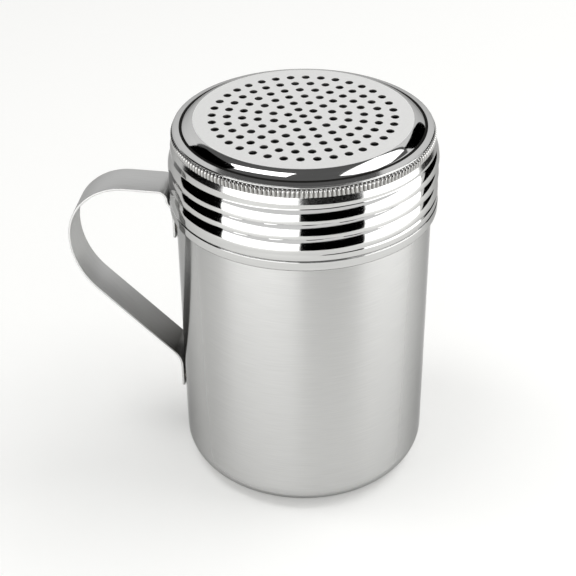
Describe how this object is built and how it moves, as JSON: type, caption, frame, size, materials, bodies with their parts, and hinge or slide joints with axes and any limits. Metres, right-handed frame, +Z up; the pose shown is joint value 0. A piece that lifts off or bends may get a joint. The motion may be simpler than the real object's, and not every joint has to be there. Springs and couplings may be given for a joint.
{
  "type": "sugar dredger",
  "caption": "Cylindrical metal dredger with a screw-on perforated lid and a strap handle, for sprinkling sugar or flour.",
  "frame": {"origin": "centre of the flat base, on the cup's axis, on the surface that the dredger stands on", "axes": "+Z up along the cup's axis, -X out along the handle"},
  "size_m": [0.0988, 0.0706, 0.1032],
  "materials": {
    "brushed_cup": "satin stainless steel",
    "brushed_strap": "satin stainless steel",
    "weld_metal": "heat-dulled weld metal",
    "polished_lid": "mirror-polished stainless steel, satin on the sieve",
    "polished_hem": "mirror-polished stainless steel"
  },
  "bodies": {
    "vessel": {"cup": "brushed_cup", "handle": "brushed_strap", "weld_upper_front": "weld_metal", "weld_upper_back": "weld_metal", "weld_lower_front": "weld_metal", "weld_lower_back": "weld_metal"},
    "lid_edge": {"lid_hem": "polished_hem"},
    "lid": {"lid": "polished_lid"}
  },
  "joints": [
    {"name": "lid_rise", "type": "slide", "parent": "vessel", "child": "lid_edge", "axis": [0, 0, 1], "range_m": [0, 0.0249]},
    {"name": "lid_turn", "type": "hinge", "parent": "lid_edge", "child": "lid", "pos_m": [0, 0, 0.09], "axis": [0, 0, 1], "range_deg": [0, 2160]}
  ],
  "couplings": [
    {"joint": "lid_turn", "follows": "lid_rise", "rad_per_m": 1514}
  ]
}
